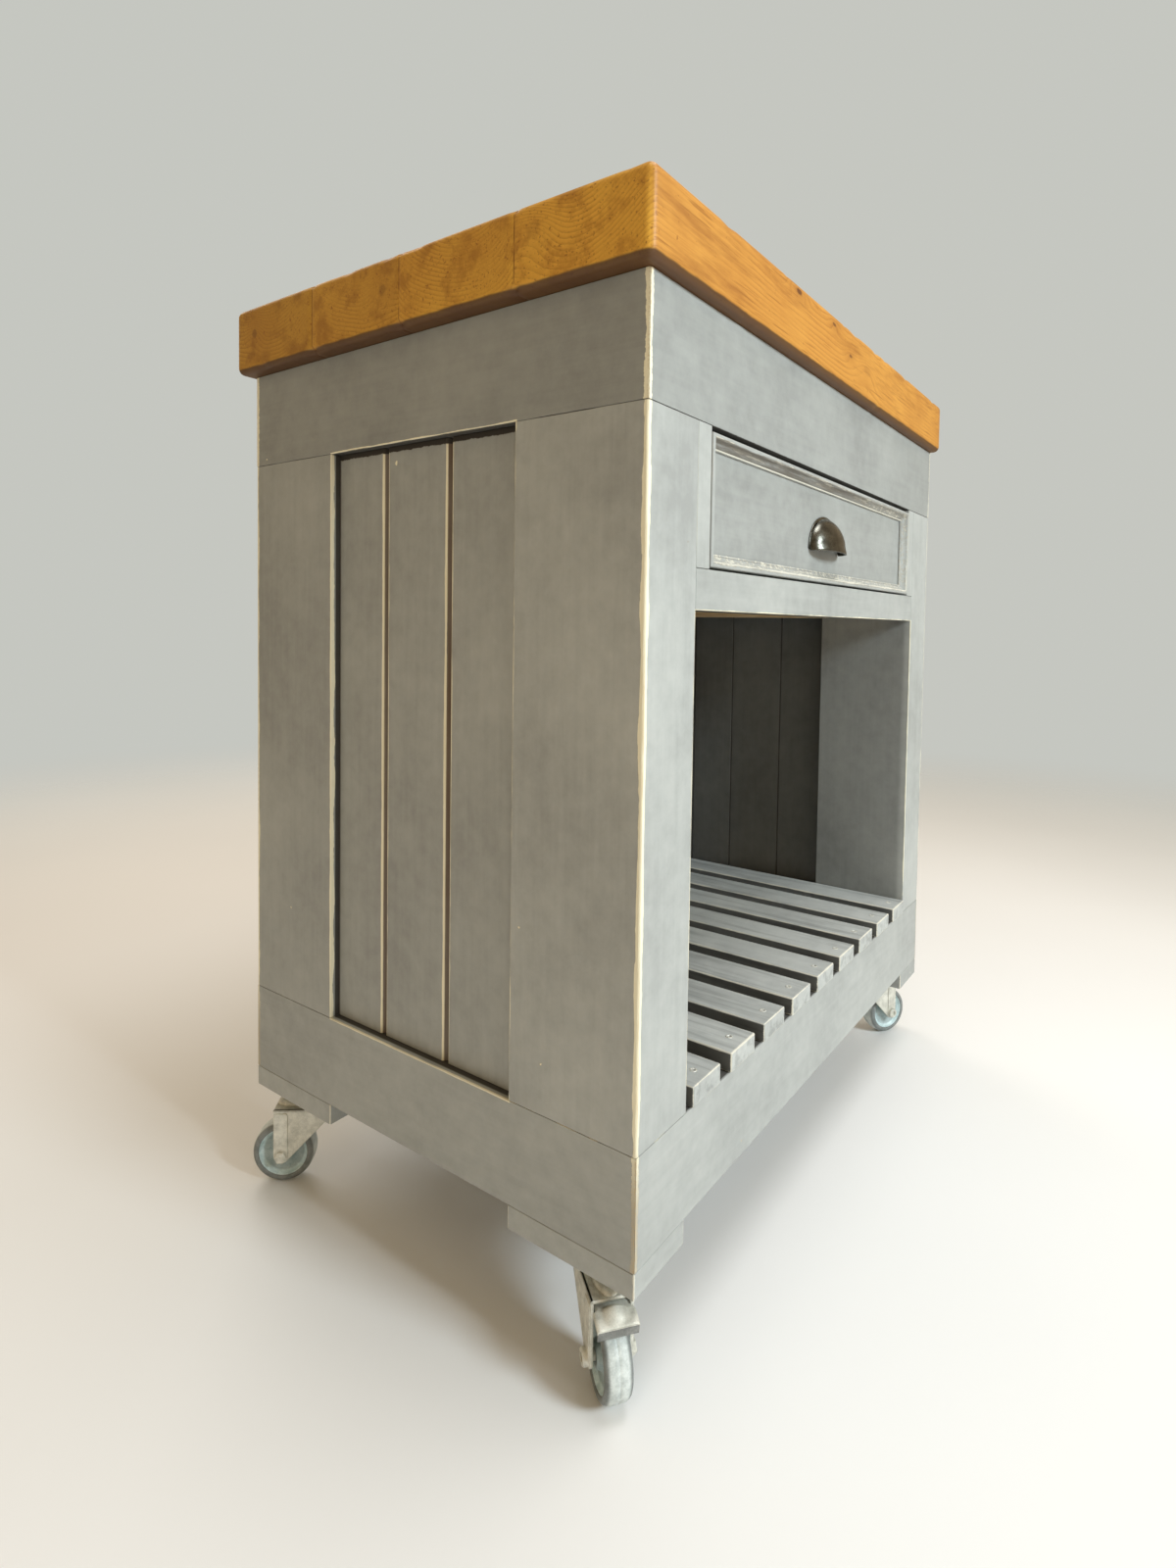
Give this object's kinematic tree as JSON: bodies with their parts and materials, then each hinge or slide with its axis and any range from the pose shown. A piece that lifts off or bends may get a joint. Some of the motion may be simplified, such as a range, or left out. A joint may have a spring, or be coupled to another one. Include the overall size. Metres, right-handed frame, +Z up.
{
  "type": "kitchen island cart",
  "caption": "Mobile kitchen island: thick pine worktop on a distressed grey painted timber body with an inset drawer, an open slatted shelf and swivel castors.",
  "frame": {"origin": "on the floor, under the middle of the cart's body", "axes": "+Z up; the drawer opens towards -Y; +X to the right as seen by someone facing the drawer"},
  "size_m": [0.7761, 0.502, 0.9],
  "materials": {
    "worktop_pine": "waxed pine, satin",
    "painted_timber": "matt grey chalk paint, edges rubbed through",
    "raw_pine": "bare sanded pine",
    "antique_iron": "dark antique iron, polished by use",
    "zinc_steel": "zinc-plated pressed steel, satin",
    "castor_rubber": "pale blue-grey moulded rubber, satin"
  },
  "bodies": {
    "cart_body": {"worktop": "worktop_pine", "top_rail_front": "painted_timber", "top_rail_back": "painted_timber", "top_rail_left": "painted_timber", "top_rail_right": "painted_timber", "post_front_left": "painted_timber", "post_front_right": "painted_timber", "post_rear_left": "painted_timber", "post_rear_right": "painted_timber", "base_rail_front": "painted_timber", "base_rail_back": "painted_timber", "base_rail_left": "painted_timber", "base_rail_right": "painted_timber", "foot_block_front_left": "painted_timber", "foot_block_front_right": "painted_timber", "foot_block_rear_left": "painted_timber", "foot_block_rear_right": "painted_timber", "side_panel_left": "painted_timber", "side_panel_right": "painted_timber", "back_panel": "painted_timber", "slat_1": "painted_timber", "slat_2": "painted_timber", "slat_3": "painted_timber", "slat_4": "painted_timber", "slat_5": "painted_timber", "slat_6": "painted_timber", "slat_7": "painted_timber", "slat_8": "painted_timber", "slat_9": "painted_timber", "mid_rail": "painted_timber", "drawer_filler_left": "painted_timber", "drawer_filler_right": "painted_timber", "drawer_runner_left": "raw_pine", "drawer_runner_right": "raw_pine", "castor_plate_front_left": "zinc_steel", "castor_plate_front_right": "zinc_steel", "castor_plate_rear_left": "zinc_steel", "castor_plate_rear_right": "zinc_steel"},
    "drawer": {"drawer_front": "painted_timber", "drawer_moulding": "painted_timber", "drawer_side_left": "raw_pine", "drawer_side_right": "raw_pine", "drawer_back": "raw_pine", "drawer_bottom": "raw_pine", "cup_pull": "antique_iron"},
    "castor_swivel_front_left": {"castor_fork_front_left": "zinc_steel", "castor_axle_front_left": "zinc_steel"},
    "castor_roller_front_left": {"castor_wheel_front_left": "castor_rubber"},
    "castor_brake_front_left": {"brake_pedal_front_left": "zinc_steel"},
    "castor_swivel_front_right": {"castor_fork_front_right": "zinc_steel", "castor_axle_front_right": "zinc_steel"},
    "castor_roller_front_right": {"castor_wheel_front_right": "castor_rubber"},
    "castor_swivel_rear_left": {"castor_fork_rear_left": "zinc_steel", "castor_axle_rear_left": "zinc_steel"},
    "castor_roller_rear_left": {"castor_wheel_rear_left": "castor_rubber"},
    "castor_swivel_rear_right": {"castor_fork_rear_right": "zinc_steel", "castor_axle_rear_right": "zinc_steel"},
    "castor_roller_rear_right": {"castor_wheel_rear_right": "castor_rubber"},
    "castor_brake_rear_right": {"brake_pedal_rear_right": "zinc_steel"}
  },
  "joints": [
    {"name": "drawer_slide", "type": "slide", "parent": "cart_body", "child": "drawer", "axis": [0, -1, 0], "range_m": [0, 0.33]},
    {"name": "swivel_front_left", "type": "hinge", "parent": "cart_body", "child": "castor_swivel_front_left", "pos_m": [-0.329, -0.179, 0.086], "axis": [0, 0, 1], "continuous": true},
    {"name": "wheel_spin_front_left", "type": "hinge", "parent": "castor_swivel_front_left", "child": "castor_roller_front_left", "pos_m": [-0.3524, -0.20894, 0.0315], "axis": [0.788, -0.6157, 0], "continuous": true},
    {"name": "brake_front_left", "type": "hinge", "parent": "castor_swivel_front_left", "child": "castor_brake_front_left", "pos_m": [-0.33639, -0.18846, 0.0705], "axis": [0.788, -0.6157, 0], "range_deg": [0, 7.5]},
    {"name": "swivel_front_right", "type": "hinge", "parent": "cart_body", "child": "castor_swivel_front_right", "pos_m": [0.329, -0.179, 0.086], "axis": [0, 0, 1], "continuous": true},
    {"name": "wheel_spin_front_right", "type": "hinge", "parent": "castor_swivel_front_right", "child": "castor_roller_front_right", "pos_m": [0.36255, -0.19684, 0.0315], "axis": [0.4695, 0.8829, 0], "continuous": true},
    {"name": "swivel_rear_left", "type": "hinge", "parent": "cart_body", "child": "castor_swivel_rear_left", "pos_m": [-0.329, 0.179, 0.086], "axis": [0, 0, 1], "continuous": true},
    {"name": "wheel_spin_rear_left", "type": "hinge", "parent": "castor_swivel_rear_left", "child": "castor_roller_rear_left", "pos_m": [-0.35343, 0.20811, 0.0315], "axis": [-0.766, -0.6428, 0], "continuous": true},
    {"name": "swivel_rear_right", "type": "hinge", "parent": "cart_body", "child": "castor_swivel_rear_right", "pos_m": [0.329, 0.179, 0.086], "axis": [0, 0, 1], "continuous": true},
    {"name": "wheel_spin_rear_right", "type": "hinge", "parent": "castor_swivel_rear_right", "child": "castor_roller_rear_right", "pos_m": [0.29456, 0.16294, 0.0315], "axis": [0.4226, -0.9063, 0], "continuous": true},
    {"name": "brake_rear_right", "type": "hinge", "parent": "castor_swivel_rear_right", "child": "castor_brake_rear_right", "pos_m": [0.31812, 0.17393, 0.0705], "axis": [0.4226, -0.9063, 0], "range_deg": [0, 7.5]}
  ]
}
